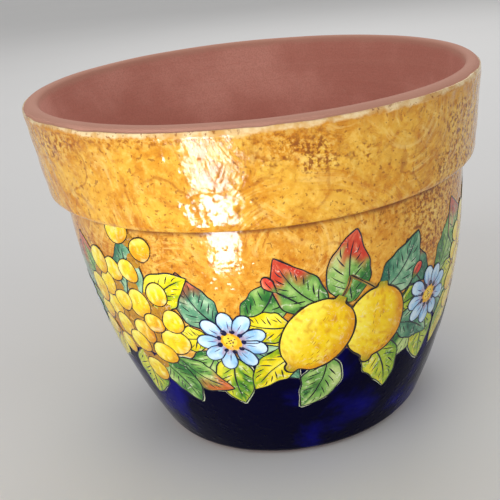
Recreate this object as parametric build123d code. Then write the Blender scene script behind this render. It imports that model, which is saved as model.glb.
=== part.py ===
"""Cone planter: a terracotta flowerpot with a heavy collar, glazed outside and bare inside.

Millimetres, +Z up. The origin is on the pot's axis, at the height of the surface it stands on.
Every piece is a solid of revolution, drawn as a section in the XZ plane and turned about Z.
"""

import os
from math import atan2, cos, pi, radians, sin, sqrt, tan

from build123d import *

# Overall sizes
rim_d = 300.0  # across the collar's top corner with the glaze on, before that corner is rounded
height = 240.0

# Collar, the heavy band round the top
collar_h = 60.0
collar_taper = 5.8  # how much smaller in radius the collar is at its lower edge
ledge_w = 8.7  # how far the collar's lower edge stands out over the wall
collar_round = 5.0
rim_round = 5.0
lip_w = 10.0  # the collar's thickness at the top, roundings included
lip_round = 3.0

# Wall, a shallow curve that steepens towards the collar
wall_base_r = 97.0  # where the wall's curve would meet the ground if the foot were not rounded
belly_r = 415.0
wall_t = 10.0
foot_round = 12.0
flare_below_ledge = 5.0  # the inside starts to open out towards the lip this far under the ledge
flare_round = 150.0

# Floor, drain hole and underside
floor_t = 13.0
floor_round = 16.0
drain_d = 25.0
drain_bevel = 1.0
recess_depth = 2.5  # the underside is hollowed this deep, so that the pot stands on a ring
foot_ring_w = 14.0  # the ring's flat
recess_bevel = 1.5

# Glaze coats
glaze_t = 0.8
rim_line_end = 50.0  # degrees that the pale line climbs round the rim's rounding, where bare clay begins
blue_line_z = 92.0  # where the ochre wall ends and the cobalt begins
foot_bare_h = 3.0  # the foot is wiped clean this far up, so that it does not stick in the kiln

# Sizes of the fired clay that follow from those above
rim_r = rim_d / 2 - glaze_t
ledge_z = height - collar_h
collar_foot_r = rim_r - collar_taper
wall_top_r = collar_foot_r - ledge_w
opening_r = rim_d / 2 - lip_w
flare_z = ledge_z - flare_below_ledge
ground_r = wall_base_r - glaze_t

# Centre of the wall's curve, which passes through the ground circle and the top of the wall
chord_r = wall_top_r - ground_r
chord = sqrt(chord_r**2 + ledge_z**2)
sagitta_side = sqrt(belly_r**2 - chord**2 / 4)
belly_centre_r = (wall_top_r + ground_r) / 2 - sagitta_side * ledge_z / chord
belly_centre_z = ledge_z / 2 + sagitta_side * chord_r / chord

# The collar leans out by this angle, which sets the centre of the rim's rounding
collar_lean = atan2(collar_taper, collar_h)
rim_centre = (rim_r - rim_round * tan((pi / 2 + collar_lean) / 2), height - rim_round)

# The wall leans out from the ground, which sets how far in the foot's rounding reaches
lean = atan2(belly_centre_z, ground_r - belly_centre_r)
foot_flat_r = ground_r - foot_round * tan((pi / 2 - lean) / 2)
recess_r = foot_flat_r - foot_ring_w


def wall_r(z, inward=0.0):
    """Radius of the clay wall at height z, or of a surface that lies inward of it."""
    return belly_centre_r + sqrt((belly_r - inward) ** 2 - (z - belly_centre_z) ** 2)


def wall_arc(z_low, z_high, inward=0.0):
    """The wall's curve between two heights, as (radius, height) in the section plane."""
    ends = [(wall_r(z, inward), z) for z in (z_low, (z_low + z_high) / 2, z_high)]
    return ThreePointArc(*ends)


def rounded(face, r, z, radius):
    """The section face with its corner nearest (r, z) rounded."""
    corner = face.vertices().sort_by_distance((r, z, 0))[0]
    return fillet(corner, radius)


def bevelled(face, r, z, width):
    """The section face with its corner nearest (r, z) cut off at an angle."""
    corner = face.vertices().sort_by_distance((r, z, 0))[0]
    return chamfer(corner, width)


def box_section(r_low, r_high, z_low, z_high):
    """A rectangle of the section plane."""
    return Pos((r_low + r_high) / 2, (z_low + z_high) / 2) * Rectangle(r_high - r_low, z_high - z_low)


def outer_section():
    """Half section of the pot as if it were solid clay."""
    collar = [(wall_top_r, ledge_z), (collar_foot_r, ledge_z), (rim_r, height)]
    middle = [(0, height), (0, 0), (ground_r, 0)]
    face = make_face(wall_arc(0, ledge_z) + Polyline(*collar, *middle))
    face = rounded(face, ground_r, 0, foot_round)
    face = rounded(face, collar_foot_r, ledge_z, collar_round)
    return rounded(face, rim_r, height, rim_round)


def hollow_section():
    """Half section of the room inside: a floor, the wall's curve and the flare up to the lip."""
    flare_start = (wall_r(flare_z, wall_t), flare_z)
    floor_edge = (wall_r(floor_t, wall_t), floor_t)
    edges = Polyline(flare_start, (opening_r, height), (0, height), (0, floor_t), floor_edge)
    face = make_face(wall_arc(floor_t, flare_z, wall_t) + edges)
    face = rounded(face, *floor_edge, floor_round)
    return rounded(face, *flare_start, flare_round)


def clay_section():
    """Half section of the fired clay, with its lip, drain hole and hollowed underside."""
    face = outer_section() - hollow_section()
    face -= box_section(-drain_d / 2, drain_d / 2, -1, floor_t + 1)
    face -= box_section(-recess_r, recess_r, -recess_depth, recess_depth)
    face = rounded(face, opening_r, height, lip_round)
    face = bevelled(face, drain_d / 2, floor_t, drain_bevel)
    face = bevelled(face, drain_d / 2, recess_depth, drain_bevel)
    return bevelled(face, recess_r, recess_depth, recess_bevel)


def glaze_skin():
    """Half section of an even coat of glaze on every outside face of the clay."""
    outside = outer_section()
    return offset(outside, glaze_t) - outside


def rim_wedge():
    """The part of the section plane that the pale line takes up, fanned out from the rim's rounding."""
    reach = 2 * rim_round
    r, z = rim_centre
    low, high = -collar_lean, radians(rim_line_end)
    tips = [(r + reach * cos(a), z + reach * sin(a)) for a in (low, (low + high) / 2, high)]
    return make_face(Polyline(rim_centre, *tips, rim_centre))


def glaze_band(z_low, z_high):
    """Half section of the glaze between two heights, up to the pale line."""
    return (glaze_skin() - rim_wedge()) & box_section(0, rim_d, z_low, z_high)


def turned(section):
    """A section face turned a full circle about the pot's axis."""
    return revolve(Plane.XZ * section, axis=Axis.Z)


nodes = {
    "clay_body": turned(clay_section()),
    "rim_line": turned(glaze_skin() & rim_wedge()),
    "collar_glaze": turned(glaze_band(ledge_z - glaze_t, rim_centre[1])),
    "wall_glaze": turned(glaze_band(blue_line_z, ledge_z - glaze_t)),
    "foot_glaze": turned(glaze_band(foot_bare_h, blue_line_z)),
}

os.makedirs("parts", exist_ok=True)
for name, solid in nodes.items():
    solid.label = name
    export_step(solid, f"parts/{name}.step")
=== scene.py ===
import math
import random

import bpy
import numpy as np
from mathutils import Matrix, Vector


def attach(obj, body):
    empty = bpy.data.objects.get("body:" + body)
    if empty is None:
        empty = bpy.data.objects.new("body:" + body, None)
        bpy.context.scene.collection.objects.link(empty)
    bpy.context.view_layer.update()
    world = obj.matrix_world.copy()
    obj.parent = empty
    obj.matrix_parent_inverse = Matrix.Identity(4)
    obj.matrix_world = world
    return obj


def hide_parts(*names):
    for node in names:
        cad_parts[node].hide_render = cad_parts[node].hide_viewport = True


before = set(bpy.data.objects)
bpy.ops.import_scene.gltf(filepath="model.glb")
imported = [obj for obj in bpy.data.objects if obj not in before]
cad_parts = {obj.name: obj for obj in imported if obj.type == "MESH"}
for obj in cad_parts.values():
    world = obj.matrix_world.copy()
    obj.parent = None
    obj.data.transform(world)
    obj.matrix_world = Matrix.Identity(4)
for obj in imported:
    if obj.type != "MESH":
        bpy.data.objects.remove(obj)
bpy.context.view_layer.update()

MM = 0.001
TAU = 2 * math.pi

# Shape of the pot, in millimetres
HEIGHT = 240.0
LEDGE = 180.0  # the collar's underside
COAT = 0.8  # the glaze's thickness
BLUE = 92.0  # where ochre ends and cobalt begins
ARC_R, ARC_Z = -280.27, 174.64  # centre of the wall's curve
CLAY_OUT = 415.0  # radius of that curve at the outer face of the clay
ARC_OUT = CLAY_OUT + COAT
ARC_IN = 405.0
ARC_START = math.asin(-ARC_Z / ARC_OUT)
RIM_C, RIM_ROUND = (143.69, 235.0), 5.0
LOW_C, LOW_ROUND = (138.86, 185.0), 5.0  # the rounding at the collar's lower edge
FOOT_C, FOOT_ROUND = (88.54, 12.0), 12.0
LEAN = math.degrees(math.atan2(5.8, 60.0))  # how far the collar leans out, in degrees
LIP_C, LIP_ROUND = (142.376, 237.0), 3.0
FLARE = 13.25  # how far the inside leans out above the wall's curve, in degrees
FLARE_LOW, FLARE_HIGH = 157.6, 192.0
FLOOR_C, FLOOR_ROUND = (80.5, 29.0), 16.0
FLOOR_T = 13.0
DRAIN_R = 12.5
BEVEL = 1.0
RECESS, RECESS_R = 2.5, 74.5  # the hollowed underside

AROUND = 512  # columns of points round the glaze
CLAY_AROUND = 320
RIM_ROWS = 13  # rows of the glaze from its upper edge to the end of the pale line
LEDGE_CUT = 177.7  # height at which the collar's glaze is cut from the wall's


# Noise and unevenness
def lattice(ix, iy, iz, seed):
    """A fixed random value from 0 to 1 for each whole-number point."""
    n = (ix * 374761393 + iy * 668265263 + iz * 1440662683 + seed * 1274126177) & 0xFFFFFFFF
    n = ((n ^ (n >> 13)) * 1274126177) & 0xFFFFFFFF
    n = ((n ^ (n >> 15)) * 2246822519) & 0xFFFFFFFF
    return ((n ^ (n >> 16)) & 0xFFFF) / 65535.0


def noise(x, y, z, seed=0):
    """Smooth noise from -1 to 1."""
    x, y, z = np.broadcast_arrays(*(np.asarray(a, float) for a in (x, y, z)))
    ix, iy, iz = (np.floor(a).astype(np.int64) for a in (x, y, z))
    fx, fy, fz = x - ix, y - iy, z - iz
    fx, fy, fz = (f * f * f * (f * (f * 6 - 15) + 10) for f in (fx, fy, fz))
    out = np.zeros(x.shape)
    for dx in (0, 1):
        for dy in (0, 1):
            for dz in (0, 1):
                w = (fx if dx else 1 - fx) * (fy if dy else 1 - fy) * (fz if dz else 1 - fz)
                out += w * lattice(ix + dx, iy + dy, iz + dz, seed)
    return out * 2 - 1


def ring_noise(th, h, size, seed=0, radius=130.0):
    """Noise round the pot, in features of about that size in millimetres."""
    k = radius / size
    return noise(np.cos(th) * k, np.sin(th) * k, np.asarray(h) / size, seed)


def wobble(th, h):
    """How far the hand-finished surface leaves the true curve."""
    low = 0.28 * np.sin(2 * th + 0.7) + 0.16 * np.sin(3 * th + 2.1 + h / 70)
    return low + 0.30 * ring_noise(th, h, 38, 3) + 0.10 * ring_noise(th, h, 17, 5)


def hammer(th, z):
    """The dimpled face of the collar's thick glaze."""
    return 0.24 * ring_noise(th, z, 10, 11, 148) + 0.14 * ring_noise(th, z * 1.5, 5.6, 12, 148)


# Patches of dense stipple: angle round the pot, height, and how wide and tall they are
SPONGED = (
    ((9, 224), (13, 15)),
    ((20, 214), (8, 10)),
    ((-22, 236), (20, 5)),
    ((58, 214), (16, 60)),
    ((52, 165), (14, 26)),
    ((118, 205), (22, 24)),
    ((172, 226), (16, 16)),
    ((205, 200), (14, 30)),
    ((262, 215), (20, 18)),
    ((300, 228), (16, 12)),
    ((150, 150), (16, 20)),
)


def stipple(th, z):
    """How densely the sponge has left brown grains, from 0 to 1."""
    share = 0
    for (angle, high), (wide, tall) in SPONGED:
        away = (np.degrees(th) - angle + 180) % 360 - 180
        share = share + np.exp(-((away / wide) ** 2) - ((z - high) / tall) ** 2)
    return np.clip(share, 0, 1)


def wall_h(z):
    """Distance up the wall's curve from the ground's level, for a height."""
    return ARC_OUT * (np.arcsin((np.asarray(z) - ARC_Z) / ARC_OUT) - ARC_START)


def wall_r(h):
    return ARC_R + ARC_OUT * np.cos(h / ARC_OUT + ARC_START)


def on_wall(th, h, lift=0.0):
    """Points on the glazed wall, at an angle round the pot and a distance up its curve."""
    b = h / ARC_OUT + ARC_START
    rr = ARC_OUT + wobble(th, h) + lift
    r = ARC_R + rr * np.cos(b)
    return np.stack([r * np.sin(th), -r * np.cos(th), ARC_Z + rr * np.sin(b)], -1)


# Meshes
def srgb(*c):
    """Linear colour from display values of 0 to 255."""
    c = np.asarray(c, float) / 255
    return np.where(c <= 0.04045, c / 12.92, ((c + 0.055) / 1.055) ** 2.4)


def make_piece(
    name, co, faces, material, replaces=(), normals=None, paint=None, fields=None, sharp=None
):
    """A piece of the pot, from points in millimetres."""
    mesh = bpy.data.meshes.new(name)
    mesh.from_pydata((np.asarray(co) * MM).tolist(), [], faces)
    mesh.polygons.foreach_set("use_smooth", [True] * len(mesh.polygons))
    if paint is not None:
        rgba = np.ones((len(co), 4), np.float32)
        rgba[:, :3] = paint
        layer = mesh.color_attributes.new("paint", "FLOAT_COLOR", "POINT")
        layer.data.foreach_set("color", rgba.ravel())
    if fields:
        brush, grain = (field.astype(np.float32).ravel() for field in fields)
        mesh.attributes.new("brush", "FLOAT_VECTOR", "POINT").data.foreach_set("vector", brush)
        mesh.attributes.new("grain", "FLOAT", "POINT").data.foreach_set("value", grain)
    mesh.update()
    if sharp:
        mesh.set_sharp_from_angle(angle=math.radians(sharp))
    if normals is not None:
        mesh.normals_split_custom_set_from_vertices(normals.tolist())
    mesh.materials.append(material)
    piece = bpy.data.objects.new(name, mesh)
    bpy.context.scene.collection.objects.link(piece)
    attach(piece, "root")
    if replaces:
        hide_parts(*replaces)


def quads(rows, cols, closed=False, start=0, flip=False):
    """Faces between rows of points, facing out where rows go down and columns go right."""
    out = []
    for i in range(rows - 1):
        for j in range(cols if closed else cols - 1):
            k = (j + 1) % cols
            a = start + i * cols
            face = (a + j, a + cols + j, a + cols + k, a + k)
            out.append(face[::-1] if flip else face)
    return out


def arc(centre, radius, start, end, count):
    """Points on an arc of the section, from one angle in degrees to another."""
    a = np.radians(np.linspace(start, end, count))
    return [(centre[0] + radius * math.cos(x), centre[1] + radius * math.sin(x)) for x in a]


def skin():
    """The glaze's outer face in rows from lip to foot.

    Gives points, normals, the height of each row, where each point lies in the brush's own
    coordinates, and how densely it is stippled.
    """
    th = (np.arange(AROUND) / AROUND * TAU)[None]
    rim = np.array([27, 26, 24.5, 22.5, 20, 17, 14, 11, 8, 5, 2, -1, -3.5, -LEAN])[:, None]
    proud = np.array([-0.15, 0.25, 0.6] + [COAT] * 11)[:, None] + RIM_ROUND
    edge = 4.5 * ring_noise(th, 0, 22, 31, 143) + 3 * ring_noise(th, 0, 9, 32, 143)
    a = np.radians(rim + edge * np.clip((rim - 2) / 20, 0, 1))
    top_r, top_z = RIM_C[0] + proud * np.cos(a), RIM_C[1] + proud * np.sin(a)

    bend = arc(LOW_C, LOW_ROUND + COAT, -LEAN, -90, 12)
    high, low = np.array(arc(RIM_C, RIM_ROUND + COAT, -LEAN, -LEAN, 1)[0]), np.array(bend[0])
    collar = [tuple(high + (low - high) * k / 40) for k in range(1, 40)]
    under, fillet = LEDGE - COAT, 1.5
    corner = wall_r(wall_h(under - fillet)) + fillet
    groove = [(corner + 1.6, under), (corner + 0.6, under)]
    groove += arc((corner, under - fillet), fillet, 90, 180, 6)
    heights = np.linspace(wall_h(under - fillet), wall_h(6.9), 210)[1:]
    wall = [(wall_r(h), ARC_Z + ARC_OUT * math.sin(h / ARC_OUT + ARC_START)) for h in heights]
    prof = np.array(collar + bend + groove + wall)
    r, z = (np.repeat(prof[:, k : k + 1], AROUND, 1) for k in (0, 1))

    last = math.degrees(math.atan2(wall[-1][1] - FOOT_C[1], wall[-1][0] - FOOT_C[0]))
    foot = last - np.array([4, 8, 13, 18, 23, 27, 28])[:, None]
    thin = np.array([COAT, COAT, COAT, COAT, 0.65, 0.3, -0.1])[:, None] + FOOT_ROUND
    wave = 2.5 * ring_noise(th, 0, 30, 33, 95) + 1.5 * ring_noise(th, 0, 11, 34, 95)
    a = np.radians(foot + wave * np.linspace(0, 1, 7)[:, None])
    r = np.concatenate([top_r, r, FOOT_C[0] + thin * np.cos(a)])
    z = np.concatenate([top_z, z, FOOT_C[1] + thin * np.sin(a)])

    th = np.repeat(th, len(r), 0)
    dr, dz = np.gradient(r, axis=0), np.gradient(z, axis=0)
    size = np.hypot(dr, dz)
    h = np.where(z < LEDGE - 2, wall_h(np.minimum(z, LEDGE)), z)
    on_collar = np.clip((z - LEDGE) / 6, 0, 1)
    rim_calm = np.clip((HEIGHT - 1 - z) / 4, 0.1, 1)
    out = wobble(th, h) * (1 - on_collar * 0.5) + hammer(th, z) * on_collar * rim_calm
    base_z = z.copy()
    r, z = r - out * dz / size, z + out * dr / size
    co = np.stack([r * np.sin(th), -r * np.cos(th), z], -1)
    normal = np.cross(np.gradient(co, axis=0), np.roll(co, -1, 1) - np.roll(co, 1, 1))
    normal /= np.linalg.norm(normal, axis=2)[..., None]

    # the brush's strokes slant, so they are long in one direction and seamless round the pot
    is_collar = base_z > LEDGE - 1
    slant = np.where(is_collar, 0.0048, 0.0030) * (base_z - LEDGE)
    slant = slant * (1 + 0.9 * ring_noise(th, 0, 60, 21)) + 0.16 * ring_noise(th, base_z, 48, 22)
    ring = np.where(is_collar, 0.148, 0.128)
    brush = np.stack([ring * np.cos(th + slant), ring * np.sin(th + slant), base_z * 0.00030], -1)
    return co, normal, base_z.mean(1), brush, stipple(th, base_z)


# Materials
class Nodes:
    """A node material being built: each call adds a node and gives back its output."""

    def __init__(self, name, roughness, specular):
        self.mat = bpy.data.materials.new(name)
        self.mat.use_nodes = True
        self.tree = self.mat.node_tree
        self.shader = self.tree.nodes["Principled BSDF"]
        self.shader.inputs["Specular IOR Level"].default_value = specular
        self.shader.inputs["Roughness"].default_value = roughness
        self.where = self.add("ShaderNodeTexCoord").outputs["Object"]
        split = self.add("ShaderNodeSeparateXYZ")
        self.feed(split.inputs[0], self.where)
        self.z = split.outputs["Z"]

    def add(self, kind, **props):
        node = self.tree.nodes.new(kind)
        for key, value in props.items():
            setattr(node, key, value)
        return node

    def feed(self, socket, value):
        if isinstance(value, bpy.types.NodeSocket):
            self.tree.links.new(value, socket)
        elif isinstance(value, tuple) and len(value) == 3 and socket.type == "RGBA":
            socket.default_value = (*srgb(*value), 1)
        else:
            socket.default_value = value

    def noise(self, scale, detail=2.0, rough=0.5, twist=0.0, at=None):
        node = self.add("ShaderNodeTexNoise")
        self.feed(node.inputs["Vector"], at or self.where)
        values = {"Scale": scale, "Detail": detail, "Roughness": rough, "Distortion": twist}
        for key, value in values.items():
            node.inputs[key].default_value = value
        return node.outputs["Fac"]

    def cells(self, scale):
        """Distance from the nearest of many scattered points."""
        node = self.add("ShaderNodeTexVoronoi", feature="F1")
        self.feed(node.inputs["Vector"], self.where)
        node.inputs["Scale"].default_value = scale
        return node.outputs["Distance"]

    def stretch(self, x, y, z):
        node = self.add("ShaderNodeMapping")
        self.feed(node.inputs["Vector"], self.where)
        node.inputs["Scale"].default_value = (x, y, z)
        return node.outputs[0]

    def attribute(self, name, out):
        return self.add("ShaderNodeAttribute", attribute_name=name).outputs[out]

    def level(self, value, low, high, to_low=0.0, to_high=1.0):
        node = self.add("ShaderNodeMapRange", interpolation_type="SMOOTHSTEP")
        for k, v in enumerate((value, low, high, to_low, to_high)):
            self.feed(node.inputs[k], v)
        return node.outputs[0]

    def sum(self, a, b, op="ADD"):
        node = self.add("ShaderNodeMath", operation=op)
        self.feed(node.inputs[0], a)
        self.feed(node.inputs[1], b)
        return node.outputs[0]

    def times(self, a, b):
        return self.sum(a, b, "MULTIPLY")

    def mix(self, share, a, b, blend="MIX"):
        node = self.add("ShaderNodeMix", data_type="RGBA", blend_type=blend)
        self.feed(node.inputs[0], share)
        self.feed(node.inputs[6], a)
        self.feed(node.inputs[7], b)
        return node.outputs[2]

    def bump(self, height, depth, under=None):
        node = self.add("ShaderNodeBump")
        node.inputs["Distance"].default_value = depth
        self.feed(node.inputs["Height"], height)
        if under:
            self.feed(node.inputs["Normal"], under)
        return node.outputs[0]

    def done(self, colour, rough=None, normal=None):
        self.feed(self.shader.inputs["Base Color"], colour)
        if rough:
            self.feed(self.shader.inputs["Roughness"], rough)
        if normal:
            self.feed(self.shader.inputs["Normal"], normal)
        return self.mat


def ochre(n, deep, mid, pale, sparse):
    """Sponged and dabbed ochre: its colour, and the relief of its strokes and grains.

    It is honey and brown in clouds, with short strokes, round sweeps, the edges of dabs and stipple.
    """
    colour = n.mix(n.level(n.noise(55, 7, 0.68, 0.6), 0.36, 0.62), mid, pale)
    colour = n.mix(n.level(n.noise(24, 5, 0.62, 0.5), 0.52, 0.70, 0, 0.50), colour, deep)
    mottle = n.noise(210, 5, 0.70, 0.3)
    colour = n.mix(n.level(mottle, 0.50, 0.68, 0, 0.60), colour, (244, 202, 98))
    colour = n.mix(n.level(mottle, 0.48, 0.33, 0, 0.60), colour, deep)

    stroke = n.noise(170, 5, 0.62, 0.5, n.attribute("brush", "Vector"))
    short = n.level(n.noise(30, 2), 0.44, 0.58)
    colour = n.mix(n.times(n.level(stroke, 0.52, 0.68, 0, 0.36), short), colour, (250, 216, 128))
    colour = n.mix(n.times(n.level(stroke, 0.45, 0.34, 0, 0.60), short), colour, deep)

    # round sweeps of the brush, as arcs with darker and paler hairs
    hairs = n.add("ShaderNodeCombineXYZ")
    n.feed(hairs.inputs[0], n.times(n.cells(15), 26.0))
    n.feed(hairs.inputs[1], n.times(n.noise(45, 3, 0.6), 3.5))
    n.feed(hairs.inputs[2], n.times(n.z, 30.0))
    arcs = n.noise(1.0, 4, 0.62, 0.0, hairs.outputs[0])
    swept = n.level(n.noise(22, 3, 0.55), 0.44, 0.56)
    colour = n.mix(n.times(n.level(arcs, 0.52, 0.66, 0, 0.45), swept), colour, (250, 214, 124))
    colour = n.mix(n.times(n.level(arcs, 0.47, 0.36, 0, 0.60), swept), colour, deep)

    # dried edges of round dabs
    dab = n.sum(n.cells(26), n.times(n.noise(70, 4, 0.6), 0.30))
    edge = n.sum(n.sum(dab, 0.60, "SUBTRACT"), 0, "ABSOLUTE")
    edge = n.times(n.level(edge, 0.034, 0.004), n.level(n.noise(24, 2), 0.42, 0.58))
    colour = n.mix(n.times(edge, 0.55), colour, (160, 88, 10))

    # stipple: brown grains with pale islands between them, in patches
    patch = n.sum(n.noise(16, 3, 0.55), n.times(n.attribute("grain", "Fac"), 0.34))
    patch = n.level(patch, sparse + 0.07, sparse + 0.25)
    grains = n.noise(400, 3, 0.6)
    islands = n.times(n.times(patch, n.level(grains, 0.47, 0.38)), 0.50)
    colour = n.mix(islands, colour, (250, 218, 120))
    dots = n.times(n.times(patch, n.level(grains, 0.53, 0.57)), 0.85)
    colour = n.mix(dots, colour, (138, 72, 6))
    specks = n.level(n.noise(400, 2, 0.5), 0.63, 0.68, 0, 0.65)
    relief = n.sum(n.times(stroke, short), n.times(grains, patch))
    relief = n.sum(relief, n.times(arcs, swept))
    return n.mix(specks, colour, (136, 72, 10)), relief


def glaze_bump(n, depth, under=None):
    """Dimples and pimples of thick glaze."""
    dimples = n.bump(n.noise(115, 1.5, 0.5), depth, under)
    pimples = n.bump(n.level(n.cells(190), 0.45, 0.05), 0.00013, dimples)
    return n.bump(n.noise(520, 2, 0.5), 0.00006, pimples)


def glaze_gloss(n):
    return n.level(n.noise(45, 3), 0.3, 0.7, 0.06, 0.13)


def cobalt(n):
    """Thick blue glaze, almost black, with purer blue where it is thin."""
    blue = n.mix(n.level(n.noise(19, 4, 0.55, 0.4), 0.50, 0.74), (5, 4, 34), (12, 9, 112))
    return n.mix(n.level(n.noise(60, 4, 0.6), 0.55, 0.75, 0, 0.5), blue, (4, 3, 20))


def cream_share(n):
    """How far the pale line shows: its lower edge wanders, and it thins out in places."""
    edge = n.sum(n.z, n.times(n.noise(130, 5, 0.65), 0.0060))
    edge = n.sum(edge, n.times(n.noise(18, 2), 0.0060))
    return n.level(edge, 0.2402, 0.2420)


def collar_glaze():
    """Ochre that is darker along the top and pale at the rim, with painted shade in brown in the groove
    below.
    """
    depth = 0.0010
    n = Nodes("collar_glaze", 0.1, 0.50)
    colour, relief = ochre(n, (178, 98, 6), (208, 138, 20), (228, 172, 54), 0.55)
    top = n.sum(n.z, n.times(n.noise(60, 3, 0.6), 0.010))
    colour = n.mix(n.level(top, 0.230, 0.242, 0, 0.50), colour, (196, 126, 30))
    colour = n.mix(cream_share(n), colour, (236, 200, 134))
    # painted shade: brown in the groove under the collar
    colour = n.mix(n.level(n.z, 0.1812, 0.1796, 0, 0.8), colour, (118, 56, 12))
    return n.done(colour, glaze_gloss(n), glaze_bump(n, depth, n.bump(relief, depth * 0.32)))


def wall_glaze(name, specular, depth):
    """Ochre above and cobalt below, meeting in a wavy line, with painted shade in brown in the groove
    under the collar.
    """
    n = Nodes(name, 0.1, specular)
    meeting = n.sum(n.z, n.times(n.sum(n.noise(22, 3, 0.5), 0.5, "SUBTRACT"), 0.022))
    colour, relief = ochre(n, (176, 92, 8), (208, 136, 26), (228, 170, 60), 0.49)
    # painted shade: brown along the groove under the collar
    groove = n.sum(n.z, n.times(n.noise(70, 3, 0.5), 0.004))
    colour = n.mix(n.level(groove, 0.1758, 0.1802, 0, 0.95), colour, (112, 52, 10))
    colour = n.mix(n.level(meeting, 0.0905, 0.0925), cobalt(n), colour)
    return n.done(colour, glaze_gloss(n), glaze_bump(n, depth, n.bump(relief, depth * 0.32)))


def cream():
    """The pale line round the rim, specked with brown."""
    n = Nodes("cream_glaze", 0.1, 0.5)
    colour = n.mix(n.level(n.noise(90, 4, 0.6), 0.36, 0.62), (214, 164, 90), (240, 212, 160))
    specks = n.level(n.noise(420, 3, 0.6), 0.56, 0.64, 0, 0.85)
    specks = n.times(specks, n.level(n.noise(30, 2), 0.40, 0.55))
    colour = n.mix(specks, colour, (146, 82, 26))
    colour = n.mix(cream_share(n), (206, 138, 34), colour)
    return n.done(colour, n.level(n.noise(60), 0.3, 0.7, 0.08, 0.16), glaze_bump(n, 0.0003))


def terracotta():
    """Fired clay: soft clouds, faint rings from the wheel, grain and a paler lip, with painted shade
    darkening the foot and the underside.
    """
    n = Nodes("terracotta", 0.85, 0.25)
    soft = n.noise(13, 4, 0.55)
    colour = n.mix(n.level(soft, 0.38, 0.64), (202, 134, 118), (222, 158, 142))
    rings = n.noise(1, 3, 0.55, 0.3, n.stretch(6, 6, 150))
    colour = n.mix(n.level(rings, 0.42, 0.66, 0, 0.10), colour, (214, 156, 136))
    grain = n.noise(900, 3, 0.6)
    colour = n.mix(n.level(grain, 0.42, 0.62, 0, 0.25), colour, (170, 104, 86))
    colour = n.mix(n.level(n.noise(260, 2), 0.70, 0.75, 0, 0.20), colour, (206, 160, 144))
    height = n.sum(n.z, n.times(n.noise(50), 0.003))
    colour = n.mix(n.level(height, 0.2350, 0.2395, 0, 0.75), colour, (200, 150, 130))
    # painted shade: the clay is darker at the foot ring and the hollow underside, next to the floor
    colour = n.mix(n.level(height, 0.008, 0.003, 0, 0.7), colour, (92, 56, 44))
    normal = n.bump(grain, 0.00025, n.bump(rings, 0.0004))
    return n.done(colour, n.level(soft, 0.3, 0.7, 0.78, 0.92), normal)


def painted(name, gaps=0.0):
    """Brushed enamel: each shape's own colours, in streaks, with gaps to the white ground."""
    n = Nodes(name, 0.1, 0.4)
    base = n.attribute("paint", "Color")
    thin = n.mix(0.6, base, (255, 255, 235), "SOFT_LIGHT")
    thick = n.mix(0.75, base, base, "MULTIPLY")
    colour = n.mix(n.times(n.level(n.noise(300, 5, 0.66, 0.8), 0.34, 0.66), 0.45), base, thin)
    colour = n.mix(n.level(n.noise(130, 5, 0.66), 0.50, 0.68, 0, 0.45), colour, thick)
    if gaps:
        bare = n.level(n.noise(230, 5, 0.7, 1.2), 0.56, 0.68, 0, gaps)
        colour = n.mix(bare, colour, (246, 244, 222))
    return n.done(colour, glaze_gloss(n), glaze_bump(n, 0.00022))


# The pot
co, normal, level, brush, grain = skin()
ledge_row = RIM_ROWS + int(np.argmin(np.abs(level[RIM_ROWS:] - LEDGE_CUT)))
blue_row = int(np.argmin(np.abs(level - BLUE)))
upper, lower = wall_glaze("wall_glaze", 0.4, 0.00022), wall_glaze("foot_glaze", 0.025, 0.00016)
coats = (
    ("rim_glaze", 0, RIM_ROWS, cream(), "cream_glaze", "rim_line"),
    ("collar_coat", RIM_ROWS, ledge_row, collar_glaze(), "ochre_glaze", "collar_glaze"),
    ("wall_coat", ledge_row, blue_row, upper, "ochre_glaze", "wall_glaze"),
    ("foot_coat", blue_row, len(level) - 1, lower, "cobalt_glaze", "foot_glaze"),
)
for name, first, last, material, slot, node in coats:
    rows = slice(first, last + 1)
    make_piece(
        name,
        co[rows].reshape(-1, 3),
        quads(last + 1 - first, AROUND, True),
        material,
        (node,),
        normals=normal[rows].reshape(-1, 3),
        fields=(brush[rows], grain[rows]),
    )


def curve_r(z, radius):
    """Radius of the pot at a height, on a curve about the wall's centre."""
    return ARC_R + math.sqrt(radius**2 - (z - ARC_Z) ** 2)


def flare_r(z):
    """Radius of the inside at a height, on the straight flare up to the lip."""
    return 140.0 - (HEIGHT - z) * math.tan(math.radians(FLARE))


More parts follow.
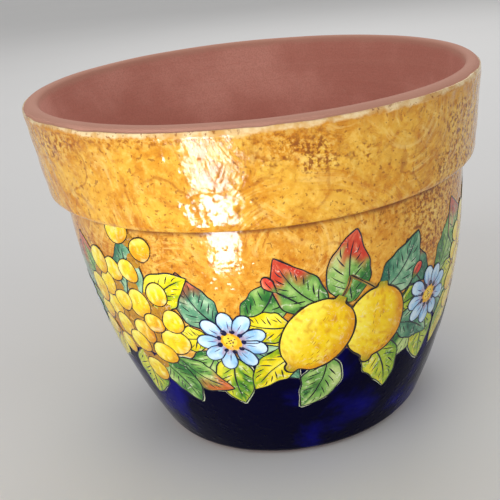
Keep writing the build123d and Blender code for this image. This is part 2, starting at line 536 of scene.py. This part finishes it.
def clay_section():
    """The fired body's closed section: over the rim and lip, down inside, and up the outside."""
    prof = arc(RIM_C, RIM_ROUND, -LEAN, 90, 18)
    prof += arc(LIP_C, LIP_ROUND, 90, 180 - FLARE, 9)[:-1]
    prof += [(flare_r(z), z) for z in np.linspace(237.4, FLARE_HIGH, 24)]
    # a smooth bend from the flare into the wall's curve
    r0, r1 = flare_r(FLARE_HIGH), curve_r(FLARE_LOW, ARC_IN)
    s0 = math.tan(math.radians(FLARE))
    s1 = -(FLARE_LOW - ARC_Z) / math.sqrt(ARC_IN**2 - (FLARE_LOW - ARC_Z) ** 2)
    span = FLARE_LOW - FLARE_HIGH
    for u in np.linspace(0, 1, 14)[1:-1]:
        h00, h10 = 2 * u**3 - 3 * u**2 + 1, u**3 - 2 * u**2 + u
        h01, h11 = -2 * u**3 + 3 * u**2, u**3 - u**2
        prof.append((h00 * r0 + h10 * span * s0 + h01 * r1 + h11 * span * s1, FLARE_HIGH + span * u))
    prof += [(curve_r(z, ARC_IN), z) for z in np.linspace(FLARE_LOW, 24, 62)]
    prof += arc(FLOOR_C, FLOOR_ROUND, -24, -90, 12)
    prof += [(r, FLOOR_T) for r in (70, 60, 50, 40, 30, 20, DRAIN_R + BEVEL)]
    prof += [(DRAIN_R, z) for z in (FLOOR_T - BEVEL, 8.0, RECESS + BEVEL)]
    prof += [(r, RECESS) for r in (DRAIN_R + BEVEL, 25, 40, 55, 66, 73.0)]
    prof += [(RECESS_R, 1.0), (RECESS_R, 0.0), (81.5, 0.0)]
    prof += arc(FOOT_C, FOOT_ROUND, -90, -22, 9)
    prof += [(curve_r(z, CLAY_OUT), z) for z in np.linspace(12, LEDGE, 18)]
    prof += arc(LOW_C, LOW_ROUND, -90, -LEAN, 6)
    return np.array(prof)


def clay_pot():
    """The fired body, turned from its section, with the unevenness of a hand-finished pot."""
    prof = clay_section()
    th = (np.arange(CLAY_AROUND) / CLAY_AROUND * TAU)[None]
    r, z = (np.repeat(prof[:, k : k + 1], CLAY_AROUND, 1) for k in (0, 1))
    move = 0.22 * np.sin(2 * th + 0.7) + 0.3 * ring_noise(th, z, 45, 7)
    move = move + 0.07 * noise(z / 2.6, th * 0 + 3, 0, 9)  # faint rings from the wheel
    calm = np.clip((z - 20) / 20, 0, 1) * np.clip((HEIGHT - z) / 6, 0, 1) * ((r < 141) & (z > 14))
    r = r + move * calm
    z = z + 0.12 * ring_noise(th, 0, 30, 8, 143) * (z > 236)
    co = np.stack([r * np.sin(th), -r * np.cos(th), z], -1).reshape(-1, 3)
    faces = quads(len(prof), CLAY_AROUND, True, flip=True)
    last = (len(prof) - 1) * CLAY_AROUND
    for j in range(CLAY_AROUND):
        k = (j + 1) % CLAY_AROUND
        faces.append((j, k, last + k, last + j))
    make_piece("clay_pot", co, faces, terracotta(), ("clay_body",), sharp=40)


clay_pot()


# The painted garland
class Spot:
    """A place on the wall, at an angle and a height, with its own flat x and y in millimetres."""

    def __init__(self, angle, z, turn, mirror, start):
        self.th, self.h = math.radians(angle), float(wall_h(z))
        self.turn, self.mirror = math.radians(turn), mirror
        self.order = start

    def next(self, step=0.8):
        """The next coat up at this place."""
        self.order += step
        return self.order

    def flat(self, xy):
        x, y = np.asarray(xy)[..., 0], np.asarray(xy)[..., 1]
        if self.mirror:
            x = -x
        c, s = math.cos(self.turn), math.sin(self.turn)
        h = self.h + x * s + y * c
        return self.th + (x * c - y * s) / wall_r(h), h

    def at(self, xy, lift):
        return on_wall(*self.flat(xy), lift)


class Coat:
    """Brushed shapes or pen lines that lie on the wall, gathered into one piece."""

    def __init__(self):
        self.co, self.faces, self.paint, self.count = [], [], [], 0

    def lay(self, spot, xy, paint, lift, closed=False, below=None):
        """Lays a grid of points: open, or rings with the innermost closed by one face."""
        rows, cols = xy.shape[:2]
        co = spot.at(xy, lift)
        down, right = xy[1, 0] - xy[0, 0], xy[0, 1] - xy[0, 0]
        if closed:
            down, right = xy[-1, 0] - xy[0, 0], xy[-1, 1] - xy[-1, 0]
        flip = (down[0] * right[1] - down[1] * right[0] < 0) != spot.mirror
        faces = quads(rows, cols, closed, self.count, flip)
        if closed:
            ring = tuple(range(self.count, self.count + cols))
            faces.append(ring if flip else ring[::-1])
        if below:
            high = co.reshape(-1, 3)[:, 2] > below
            faces = [f for f in faces if not all(high[v - self.count] for v in f)]
        self.co.append(co.reshape(-1, 3))
        self.paint.append(np.broadcast_to(paint, (rows, cols, 3)).reshape(-1, 3))
        self.faces += faces
        self.count += rows * cols

    def piece(self, name, material, slot):
        co, paint = np.concatenate(self.co), np.concatenate(self.paint)
        make_piece(name, co, self.faces, material, paint=paint)


slips, leaves, fruits, blooms, inks = Coat(), Coat(), Coat(), Coat(), Coat()
LOWEST = 0.05  # how far the lowest coat lies over the wall, in millimetres
STEP = 0.024  # how far each coat of colour lies over the one below
INK = 0.011  # how far a pen line lies over its colour
SLIP_TOP = BLUE + 1  # the white ground ends here, where the ochre begins


def lift_of(order):
    return LOWEST + STEP * order


def blend(a, b, t):
    t = np.clip(np.asarray(t, float), 0, 1)[..., None]
    return np.asarray(a) * (1 - t) + np.asarray(b) * t


def smooth(x, low, high):
    t = np.clip((np.asarray(x, float) - low) / (high - low), 0, 1)
    return t * t * (3 - 2 * t)


def turned(x, y, turn):
    a = math.radians(turn)
    return x * math.cos(a) - y * math.sin(a), x * math.sin(a) + y * math.cos(a)


class Blade:
    """A shape drawn along a bent middle line: a leaf, a petal or a fruit."""

    def __init__(self, x, y, turn, length, width, bend, form, seed):
        self.x, self.y, self.turn = x, y, turn
        self.length, self.width, self.bend, self.form, self.seed = length, width, bend, form, seed

    def half(self, a):
        """Half the width, at a share of the length."""
        a = np.clip(a, 0, 1)
        if self.form == "leaf":
            w = np.sin(math.pi * a**0.80) ** 0.85 * (1 - 0.10 * a)
            w = w * (1 + 0.05 * np.sin(a * 19 + self.seed))
        elif self.form == "petal":
            w = np.minimum(1, 1.35 * a**0.75 + 0.12) * np.sqrt(np.clip(1 - a**5, 0, 1))
        else:
            body = np.sqrt(np.clip(1 - ((a - 0.48) / 0.43) ** 2, 0, 1)) ** 0.92
            nub = 0.20 * np.sqrt(np.clip(1 - ((a - 0.935) / 0.065) ** 2, 0, 1))
            neck = 0.17 * np.sqrt(np.clip(1 - ((a - 0.04) / 0.06) ** 2, 0, 1))
            w = np.maximum(np.maximum(body, nub), neck)
        return np.maximum(w, 0.015) * self.width / 2

    def at(self, a, b, grow=0.0):
        """A point at a share of the length, and from edge to edge at -1 to 1."""
        a, b = np.broadcast_arrays(np.asarray(a, float), np.asarray(b, float))
        aa = 0.5 + (a - 0.5) * (1 + 2 * grow / self.length)
        s = aa * self.length
        side = self.bend * self.length * np.sin(math.pi * a)
        slope = np.arctan(self.bend * math.pi * np.cos(math.pi * a))
        w = self.half(a) + grow
        shake = 0.35 * noise(a * 5, b * 0.6, self.seed, 41)
        x = s - b * w * np.sin(slope)
        y = side + b * (w + shake) * np.cos(slope)
        x, y = turned(x, y, self.turn)
        return np.stack([x + self.x, y + self.y], -1)

    def grid(self, rows, cols, grow=0.0):
        a = np.linspace(0, 1, rows)[:, None]
        b = np.linspace(-1, 1, cols)[None]
        return a, b, self.at(a, b, grow)

    def edge(self, count, grow=0.0):
        """The outline, there along one side and back along the other."""
        a = (1 - np.cos(np.linspace(0, math.pi, count))) / 2
        there = self.at(a, -1, grow)
        back = self.at(a[::-1], 1, grow)
        return np.concatenate([there, back[1:]])


def resample(line, step):
    """A line in even steps, and how far along it each point lies."""
    line = np.asarray(line, float)
    run = np.concatenate([[0], np.cumsum(np.linalg.norm(np.diff(line, axis=0), axis=1))])
    count = max(3, int(run[-1] / step) + 1)
    s = np.linspace(0, run[-1], count)
    return np.stack([np.interp(s, run, line[:, k]) for k in (0, 1)], -1), s


PEN = srgb(18, 20, 30)
PEN_STEP = 1.1


def stroke(spot, line, order, width, seed, colour=PEN, end=0.25, shake=0.22):
    """A pen line that swells and thins as the hand presses."""
    p, s = resample(line, PEN_STEP)
    d = np.gradient(p, axis=0)
    d /= np.maximum(np.linalg.norm(d, axis=1), 1e-6)[:, None]
    n = np.stack([-d[:, 1], d[:, 0]], -1)
    p = p + n * (shake * noise(s / 7, seed * 1.7, 0, 51))[:, None]
    ends = np.minimum(1, 0.35 + s / 3) * np.minimum(1, end + (s[-1] - s) / 4)
    half = width / 2 * ends * (1 + 0.35 * noise(s / 9, seed * 3.1, 5, 52))
    xy = np.stack([p + n * half[:, None], p - n * half[:, None]], 1)
    paint = blend(colour, colour * 2.2 + 0.01, smooth(noise(s / 6, seed, 2, 53), 0.1, 0.9))[:, None]
    inks.lay(spot, xy, np.repeat(paint, 2, 1), lift_of(order) + INK)


LEAF_TONES = {
    "green": ((40, 104, 44), (118, 168, 78), (190, 212, 132)),
    "teal": ((34, 98, 78), (96, 152, 116), (172, 206, 166)),
    "fresh": ((70, 132, 34), (168, 192, 44), (236, 222, 50)),
    "lime": ((138, 168, 10), (232, 208, 6), (250, 232, 70)),
}


TIP_LIGHT = (232, 122, 92)
VEINS = 6  # side strokes on each side of the middle rib


def leaf(spot, x, y, turn, length, width, bend, tone, tip, seed):
    """A broad pointed leaf: two washes of colour, a pen outline, a middle rib and short side strokes."""
    shape = Blade(x, y, turn, length, width, bend, "leaf", seed)
    order = spot.next()
    a, b, xy = shape.grid(32, 15)
    dark, mid, light = (srgb(*c) for c in LEAF_TONES[tone])
    rib = a * length / 6 - np.abs(b) * width / 9
    wash = 0.5 + 0.42 * noise(rib, b * 1.6, seed, 61) + 0.34 * noise(a * 3, b * 1.2, seed, 62)
    wash = wash + 0.30 * b * (1 if seed % 2 else -1)
    wash = wash + 0.22 * noise(a * length / 2.2, b * width / 7, seed, 65)
    paint = blend(dark, mid, smooth(wash, -0.05, 0.55))
    paint = blend(paint, light, smooth(wash, 0.52, 1.05) * 0.9)
    shade = 0.35 * smooth(0.10 - np.abs(b), 0, 0.1) + 0.35 * smooth(0.25 - a, 0, 0.25)
    paint = blend(paint, dark * 0.8, shade)
    paint = blend(paint, dark, 0.35 * smooth(np.abs(b), 0.80, 1.0))
    if tip:
        burn = smooth(a + 0.14 * noise(a * 4, b * 3, seed, 63) + 0.08 * np.abs(b), 0.50, 0.82)
        flame = smooth(noise(a * 9, b * 4, seed, 66), 0.0, 0.8) * 0.6
        paint = blend(paint, blend(srgb(*tip), srgb(*TIP_LIGHT), flame), burn * 0.95)
    leaves.lay(spot, xy, paint, lift_of(order))
    a, b, under = shape.grid(32, 7, 0.40 + 0.5 * ((seed * 7) % 5) / 5)
    thin = smooth(noise(a * 5, b * 2, seed, 64), -0.5, 0.5)
    slip = blend(srgb(196, 212, 170), srgb(236, 236, 206), thin)
    slips.lay(spot, under, slip, lift_of(0) - 0.02 + 0.0012 * (seed % 9), below=SLIP_TOP)
    stroke(spot, shape.edge(26, 0.1), order, 0.85, seed, shake=0.45)
    stroke(spot, shape.at(np.linspace(0.04, 0.86, 14), 0.0), order, 0.85, seed + 1, end=0.1)
    rng = random.Random(seed)
    for k in range(VEINS):
        for side in (-1, 1):
            a0 = 0.14 + 0.66 * (k + 0.5 * (side > 0)) / VEINS + rng.uniform(-0.02, 0.02)
            near, far = rng.uniform(0.12, 0.46), rng.uniform(0.62, 0.88)
            t = np.linspace(0, 1, 5)
            line = shape.at(a0 + 0.13 * t, side * (near + (far - near) * t))
            stroke(spot, line, order, rng.uniform(0.6, 0.9), seed + k, end=0.1)


def lemon(spot, x, y, turn, length, width, seed, warm=0.0):
    """A pointed oval fruit with a bright flank, orange-brown shade and brushed flecks."""
    shape = Blade(x, y, turn, length, width, 0.02, "fruit", seed)
    order = spot.next(1.2)
    a, b, xy = shape.grid(36, 23)
    light, mid = srgb(252, 230, 70), srgb(242, 200, 6)
    shade, rind = srgb(214, 134, 4), srgb(128, 140, 20)
    side = b + 0.25 * noise(a * 4, b * 2, seed, 71)
    paint = blend(light, mid, smooth(side, -0.75, 0.0))
    paint = blend(paint, shade, smooth(side, 0.20, 0.95) * (0.8 + warm))
    paint = blend(paint, shade, smooth(np.abs(a - 0.48), 0.28, 0.46) * 0.6)
    fleck = noise(a * length / 2.6, b * width / 6.5, seed, 72)
    fleck = fleck + 0.4 * noise(a * length / 1.4, b * width / 3, seed, 73)
    paint = blend(paint, srgb(204, 124, 4), smooth(fleck, 0.40, 0.9) * 0.6)
    paint = blend(paint, srgb(255, 240, 130), smooth(-fleck, 0.55, 1.0) * 0.35)
    paint = blend(paint, rind, smooth(a, 0.86, 1.0) * 0.7 + smooth(0.12 - a, 0, 0.12) * 0.8)
    fruits.lay(spot, xy, paint, lift_of(order))
    stroke(spot, shape.edge(34, 0.1), order, 1.2, seed, colour=srgb(34, 26, 20), shake=0.35)
    rng = random.Random(seed + 5)
    for k in range(18):
        a0, b0 = rng.uniform(0.18, 0.8), rng.uniform(-0.2, 0.85)
        dash = shape.at(np.array([a0, a0 + 0.02, a0 + 0.045]), b0)
        stroke(spot, dash, order, 0.7, k, colour=srgb(160, 86, 10))


def around(x, y, size, ring, spin, oval):
    """Points round a middle, at shares of the size and at angles, on a slightly oval ring."""
    reach = size / 2 * ring * oval
    return np.stack([x + reach * np.cos(spin), y + reach * np.sin(spin)], -1)


def berry(spot, x, y, size, order, seed, tone):
    """A round berry, lit from the upper left."""
    ring = np.linspace(0.02, 1, 8)[:, None]
    spin = (np.arange(22) / 22 * TAU)[None]
    oval = 1 + 0.07 * np.cos(2 * spin + seed) + 0.03 * np.cos(3 * spin + 2 * seed)
    light, mid, shade = srgb(254, 238, 96), srgb(246, 212, 12), srgb(220, 152, 6)
    mid = blend(mid, srgb(230, 146, 10), tone)
    shade = blend(shade, srgb(186, 84, 8), tone)
    lit = ring * np.cos(spin - math.radians(130 + 20 * math.sin(seed)))
    lit = lit + 0.3 * noise(ring * 2, spin, seed, 81)
    paint = blend(mid, light, smooth(lit, 0.12, 0.75))
    paint = blend(paint, shade, smooth(-lit, 0.10, 0.85) * 0.9)
    paint = blend(paint, shade, smooth(ring + 0 * spin, 0.82, 1.0) * 0.5)
    dab = noise(x + size / 4 * ring * np.cos(spin), y + size / 7 * ring * np.sin(spin), seed, 82)
    paint = blend(paint, shade, smooth(dab, 0.25, 0.9) * 0.5)
    paint = blend(paint, srgb(255, 246, 170), smooth(-dab, 0.25, 0.9) * 0.5)
    fruits.lay(spot, around(x, y, size, ring, spin, oval), paint, lift_of(order), closed=True)
    a = np.linspace(0, TAU * 1.03, 30) + seed
    oval = 1.02 + 0.07 * np.cos(2 * a + seed) + 0.03 * np.cos(3 * a + 2 * seed)
    stroke(spot, around(x, y, size, 1, a, oval), order, 0.75, seed, colour=srgb(44, 30, 16))


def disc(coat, spot, x, y, size, colour, order, seed, sides=14):
    """A flat dot of one colour."""
    ring = np.array([0.05, 0.6, 1.0])[:, None]
    spin = (np.arange(sides) / sides * TAU)[None]
    oval = 1 + 0.08 * np.cos(2 * spin + seed)
    coat.lay(spot, around(x, y, size, ring, spin, oval), np.asarray(colour), lift_of(order), closed=True)


# A flower's deep, middle and light tones, and the flush at the root of its petals
PETAL_TONES = {
    "sky": ((84, 146, 206), (150, 198, 236), (204, 228, 244), (176, 88, 104)),
    "rose": ((196, 84, 70), (232, 150, 120), (246, 214, 190), (150, 40, 40)),
}


def daisy(spot, x, y, size, order, seed, petals, tone):
    """A flower seen from the front: separate long petals round a dotted yellow button."""
    deep, mid, light, flush = (srgb(*c) for c in PETAL_TONES[tone])
    rng = random.Random(seed)
    for k in range(petals):
        turn = 360 / petals * (k + 0.5 * (seed % 2)) + rng.uniform(-4, 4)
        length = size / 2 * rng.uniform(0.92, 1.02)
        ox, oy = turned(size * 0.10, 0, turn)
        bend = rng.uniform(-0.04, 0.04)
        petal = Blade(x + ox, y + oy, turn, length * 0.82, size * 0.245, bend, "petal", seed + k)
        a, b, xy = petal.grid(14, 9)
        wash = a + 0.35 * noise(a * 3, b * 2.2, seed + k, 91)
        paint = blend(mid, light, smooth(wash, 0.35, 1.0))
        rim = np.abs(b) + 0.3 * noise(a * 4, b * 3, seed + k, 92)
        paint = blend(paint, deep, smooth(rim, 0.55, 1.05) * 0.6)
        root = 0.42 - a + 0.14 * noise(a * 5, b * 4, seed + k, 93)
        paint = blend(paint, flush, smooth(root, 0.0, 0.22) * 0.6)
        low = order + (k % 2) * 0.5
        blooms.lay(spot, xy, paint, lift_of(low))
        under = petal.grid(10, 5, 0.6)[2]
        slips.lay(spot, under, srgb(222, 232, 236), lift_of(0) - 0.012, below=SLIP_TOP)
        stroke(spot, petal.edge(14, 0.05), low, 0.85, seed + k, colour=srgb(16, 22, 58))
        crease = petal.at(np.linspace(0.30, 0.62, 5), rng.uniform(-0.25, 0.25))
        stroke(spot, crease, low, 0.6, k, colour=srgb(60, 50, 110))
    top = order + 1.4
    disc(blooms, spot, x, y, size * 0.30, srgb(228, 168, 22), top, seed, 20)
    disc(blooms, spot, x - 0.6, y + 0.8, size * 0.20, srgb(246, 208, 60), top + 0.4, seed, 16)
    for k in range(petals):
        ox, oy = turned(size * 0.175, 0, 360 / petals * (k + 0.5 * (seed % 2) + 0.5))
        dot = size * 0.085 * rng.uniform(0.8, 1.15)
        disc(blooms, spot, x + ox, y + oy, dot, srgb(12, 14, 62), top + 0.5, k, 10)
    for k in range(9):
        ox, oy = turned(size * 0.07 * (0.4 + 0.6 * (k % 2)), 0, 40 * k)
        disc(blooms, spot, x + ox, y + oy, 1.1, srgb(96, 50, 16), top + 0.7, k, 8)


def bud(spot, x, y, turn, order, seed):
    """A small closed bud."""
    shape = Blade(x, y, turn, 12, 7.0, 0.05, "petal", seed)
    a, b, xy = shape.grid(12, 7)
    paint = blend(srgb(86, 120, 50), srgb(206, 58, 44), smooth(a, 0.15, 0.45))
    glow = smooth(b + 0.2 * noise(a * 4, b, seed, 95), 0.2, 0.9) * smooth(a, 0.3, 0.6) * 0.8
    paint = blend(paint, srgb(238, 150, 110), glow)
    blooms.lay(spot, xy, paint, lift_of(order))
    stroke(spot, shape.edge(14), order, 0.85, seed)
    stroke(spot, shape.at(np.linspace(0.25, 0.8, 5), 0.1), order, 0.6, seed)


def stalk(spot, line, order, width, seed):
    """A brown twig with a dark line along it, bent through three points."""
    t = np.linspace(0, 1, 24)
    p = np.asarray(line, float)
    curve = ((1 - t) ** 2)[:, None] * p[0] + (2 * t * (1 - t))[:, None] * p[1] + (t**2)[:, None] * p[2]
    stroke(spot, curve, order - 0.4, width * 1.5, seed, colour=srgb(120, 92, 34), shake=0.3)
    stroke(spot, curve, order, width * 0.5, seed + 1)


# Leaves of each kind of spray: x, y, direction, how far it may turn, length, width, bend,
# tone, tip colour and seed
LEMON_LEAVES = (
    (-32, 6, 168, 5, 33, 23, 0.10, "lime", None, 4),
    (37, 2, 14, 5, 32, 21, -0.08, "fresh", (220, 130, 30), 8),
    (-11, 16, 128, 5, 46, 28, 0.10, "green", (196, 48, 34), 1),
    (24, 15, 46, 5, 46, 28, -0.08, "teal", None, 2),
    (5, 16, 86, 4, 46, 29, 0.08, "green", (196, 48, 34), 3),
    (-26, -14, 222, 5, 40, 25, -0.10, "lime", None, 5),
    (36, -10, 328, 5, 38, 24, 0.08, "teal", None, 9),
    (-10, -22, 252, 5, 42, 27, 0.08, "green", None, 7),
    (16, -18, 290, 5, 46, 28, 0.10, "fresh", None, 6),
)
BERRY_LEAVES = (
    (-30, 6, 186, 5, 32, 22, 0.08, "fresh", None, 4),
    (-20, 20, 118, 5, 40, 25, 0.08, "green", (188, 60, 36), 1),
    (22, 14, 34, 5, 40, 25, 0.10, "lime", None, 3),
    (2, 16, 78, 5, 46, 28, -0.08, "teal", None, 2),
    (30, -20, 322, 5, 38, 24, -0.10, "green", (206, 104, 40), 7),
    (-22, -14, 232, 5, 44, 27, -0.08, "lime", None, 5),
    (-2, -22, 262, 5, 42, 27, 0.08, "fresh", None, 8),
    (16, -26, 292, 5, 36, 24, 0.08, "green", None, 6),
)
DAISY_LEAVES = (
    (-14, 2, 180, 6, 27, 19, 0.08, "lime", None, 6),
    (14, 0, 2, 6, 25, 18, -0.08, "fresh", None, 8),
    (-6, 10, 116, 6, 42, 26, 0.10, "teal", (142, 74, 44), 1),
    (8, 10, 60, 6, 44, 26, -0.10, "green", None, 2),
    (-10, -8, 232, 5, 37, 25, 0.06, "green", None, 3),
    (11, -7, 312, 5, 36, 24, 0.08, "teal", None, 5),
    (0, -12, 273, 5, 40, 27, -0.06, "fresh", None, 4),
)
SPRAY_START = 6  # the order of a branch's lowest leaf, above the daisy sprays' ruffs
DAISY_ORDER = 17


def fan(spot, rng, rows, seed):
    for x, y, turn, sway, length, width, bend, tone, tip, own in rows:
        leaf(spot, x, y, turn + rng.uniform(-sway, sway), length, width, bend, tone, tip, seed + own)


def lemon_branch(angle, z, seed, mirror):
    """Two lemons hanging in a fan of leaves, with a bud at either side."""
    rng = random.Random(seed)
    s = Spot(angle, z, rng.uniform(-3, 3), mirror, SPRAY_START)
    fan(s, rng, LEMON_LEAVES, seed)
    stalk(s, ((4, 34), (3, 24), (-6, 17)), s.next(), 1.6, seed)
    stalk(s, ((4, 34), (12, 28), (21, 21)), s.order, 1.6, seed + 1)
    lemon(s, 26, 24, 262 + rng.uniform(-4, 4), 58, 42, seed + 9, 0.1)
    lemon(s, -1, 21, 232 + rng.uniform(-4, 4), 60, 43, seed + 10)
    bud(s, -40, 30, 125, s.order, seed + 11)
    stroke(s, [(-40, 30), (-33, 25), (-26, 20)], s.order, 0.9, seed)
    bud(s, 50, 18, 50, s.order, seed + 12)
    stroke(s, [(50, 18), (46, 12), (41, 7)], s.order, 0.9, seed)


BERRIES = 23  # at most, in one spray
TRIES = 2500


def scatter_berries(rng):
    """Places, sizes and coats of berries along an arch, no two that overlap on the same coat."""
    spots = []
    for k in range(TRIES):
        t = rng.random()
        cx = -30 + 62 * t
        cy = 20 + 14 * math.sin(math.pi * t) - 34 * t
        off = rng.gauss(0, 8.5) * (0.75 + 0.9 * math.sin(math.pi * t))
        x, y = cx + off * 0.45, cy + off * 0.9 - 6 * math.sin(math.pi * t)
        size = rng.uniform(14.5, 19.5)
        if all(math.hypot(x - a, y - b) > 0.405 * (size + c) for a, b, c, d in spots):
            near = [d for a, b, c, d in spots if math.hypot(x - a, y - b) < 0.56 * (size + c)]
            spots.append((x, y, size, min(c for c in range(9) if c not in near)))
        if len(spots) >= BERRIES:
            break
    return spots


def berry_branch(angle, z, seed, mirror):
    """An arching spray of small berries between leaves."""
    rng = random.Random(seed)
    s = Spot(angle, z, rng.uniform(-3, 3), mirror, SPRAY_START)
    fan(s, rng, BERRY_LEAVES, seed)
    stalk(s, ((-34, 22), (-4, 36), (30, 2)), s.next(), 1.5, seed)
    spots = scatter_berries(rng)
    # a wash of shade wherever two berries meet, under both
    for k, (x, y, size, coat) in enumerate(spots):
        for a, b, c, d in spots[k + 1 :]:
            if math.hypot(x - a, y - b) < 0.72 * (size + c):
                middle, wide = ((x + a) / 2, (y + b) / 2), 0.62 * min(size, c)
                disc(fruits, s, *middle, wide, srgb(176, 122, 14), s.order + 0.7, k)
    for k, (x, y, size, coat) in enumerate(spots):
        tone = 0.5 if rng.random() < 0.15 else 0.0
        berry(s, x, y, size, s.order + 1.5 + 0.8 * coat, seed * 3 + k, tone)


def daisy_spray(angle, z, seed, mirror, tone):
    """One open flower over a ruff of leaves."""
    rng = random.Random(seed)
    s = Spot(angle, z, rng.uniform(-4, 4), mirror, 0.0)
    fan(s, rng, DAISY_LEAVES, seed)
    size, petals = (43, 9) if tone == "sky" else (37, 8)
    daisy(s, 0, 0, size, DAISY_ORDER, seed + 7, petals, tone)


# The garland's three rounds of four sprays each
for k in range(3):
    turn, seed = 120 * k, 40 * k
    lemon_branch(15 + turn, 107 + (0, 3, -2)[k], 100 + seed, k == 1)
    daisy_spray(45 + turn, 104 + (0, -4, 3)[k], 300 + seed, k == 2, "sky" if k != 1 else "rose")
    berry_branch(74 + turn, 108 + (0, -2, 2)[k], 500 + seed, k == 1)
    daisy_spray(105 + turn, 110 + (4, 0, -4)[k], 700 + seed, k == 0, "sky" if k != 0 else "rose")

slips.piece("garland_slip", painted("slip_paint"), "cream_glaze")
leaves.piece("garland_leaves", painted("leaf_paint", 0.55), "cream_glaze")
fruits.piece("garland_fruit", painted("fruit_paint", 0.28), "cream_glaze")
blooms.piece("garland_flowers", painted("flower_paint", 0.45), "cream_glaze")
inks.piece("garland_pen_lines", painted("pen_ink"), "cobalt_glaze")


# Floor, light and camera
floor = bpy.data.meshes.new("floor")
half = 6.0
corners = [(-half, -half, 0), (half, -half, 0), (half, half, 0), (-half, half, 0)]
floor.from_pydata(corners, [], [(0, 1, 2, 3)])
n = Nodes("floor", 0.6, 0.2)
floor.materials.append(n.done(n.mix(n.noise(3), (228, 227, 226), (232, 231, 230))))
floor = bpy.data.objects.new("floor", floor)
bpy.context.scene.collection.objects.link(floor)

# An even white room, a little brighter where it is seen or mirrored than where it lights
ROOM_LIGHT, ROOM_SEEN = 0.47, 0.62
world = bpy.data.worlds.new("studio")
bpy.context.scene.world = world
world.use_nodes = True
tree = world.node_tree
back = tree.nodes["Background"]
back.inputs["Color"].default_value = (1.0, 1.0, 1.0, 1)
path = tree.nodes.new("ShaderNodeLightPath")
seen = path.outputs["Is Camera Ray"]
for ray in ("Is Glossy Ray", "Is Transmission Ray"):
    either = tree.nodes.new("ShaderNodeMath")
    either.operation = "MAXIMUM"
    tree.links.new(seen, either.inputs[0])
    tree.links.new(path.outputs[ray], either.inputs[1])
    seen = either.outputs[0]
strength = tree.nodes.new("ShaderNodeMapRange")
tree.links.new(seen, strength.inputs[0])
strength.inputs[3].default_value = ROOM_LIGHT
strength.inputs[4].default_value = ROOM_SEEN
tree.links.new(strength.outputs[0], back.inputs["Strength"])


def lamp(name, place, aim, wide, tall, watts, spread=180):
    """A soft rectangular lamp at a place in metres, aimed at another."""
    data = bpy.data.lights.new(name, "AREA")
    data.shape = "RECTANGLE"
    data.size, data.size_y, data.energy = wide, tall, watts
    data.spread = math.radians(spread)
    obj = bpy.data.objects.new(name, data)
    obj.location = place
    way = [a - b for a, b in zip(aim, place)]
    obj.rotation_euler = Vector(way).to_track_quat("-Z", "Y").to_euler()
    obj.visible_camera = False
    bpy.context.scene.collection.objects.link(obj)


MIDDLE = (0, 0, 0.12)
lamp("key", (-1.5, -1.3, 1.7), MIDDLE, 1.6, 1.6, 12.5)
lamp("fill", (1.6, -1.2, 1.2), MIDDLE, 1.4, 1.4, 6.5)
lamp("rear", (0.3, 1.7, 1.5), MIDDLE, 1.6, 1.6, 11)
lamp("window", (-0.185, -0.413, 0.07), (-0.03, -0.14, 0.2), 0.10, 0.16, 0.20, 70)

# The camera stands above the front at a distance in metres, and is turned in its own frame after
# that. These are the values of the fit to the photo.
ELEVATION, SWING, PITCH, ROLL = (math.radians(a) for a in (20.942, -5.1205, 2.1281, 6.9019))
DISTANCE, AIM_Z = 0.58387, 0.125
place = (0.0, -DISTANCE * math.cos(ELEVATION), AIM_Z + DISTANCE * math.sin(ELEVATION))
ce, ca, cb, cr = (math.cos(a) for a in (ELEVATION, SWING, PITCH, ROLL))
se, sa, sb, sr = (math.sin(a) for a in (ELEVATION, SWING, PITCH, ROLL))
rows = Matrix(((1, 0, 0), (0, se, ce), (0, ce, -se)))
swung = Matrix(((ca, 0, sa), (0, 1, 0), (-sa, 0, ca)))
pitched = Matrix(((1, 0, 0), (0, cb, sb), (0, -sb, cb)))
rolled = Matrix(((cr, -sr, 0), (sr, cr, 0), (0, 0, 1)))
rows = rolled @ pitched @ swung @ rows
cam = bpy.data.cameras.new("camera")
cam.sensor_width = 36
cam.lens = 57.6
cam.shift_x = -0.2
eye = bpy.data.objects.new("camera", cam)
eye.matrix_world = Matrix((rows[0], rows[1], -rows[2])).transposed().to_4x4()
eye.location = place
bpy.context.scene.collection.objects.link(eye)
bpy.context.scene.camera = eye
bpy.context.scene.view_settings.view_transform = "Standard"
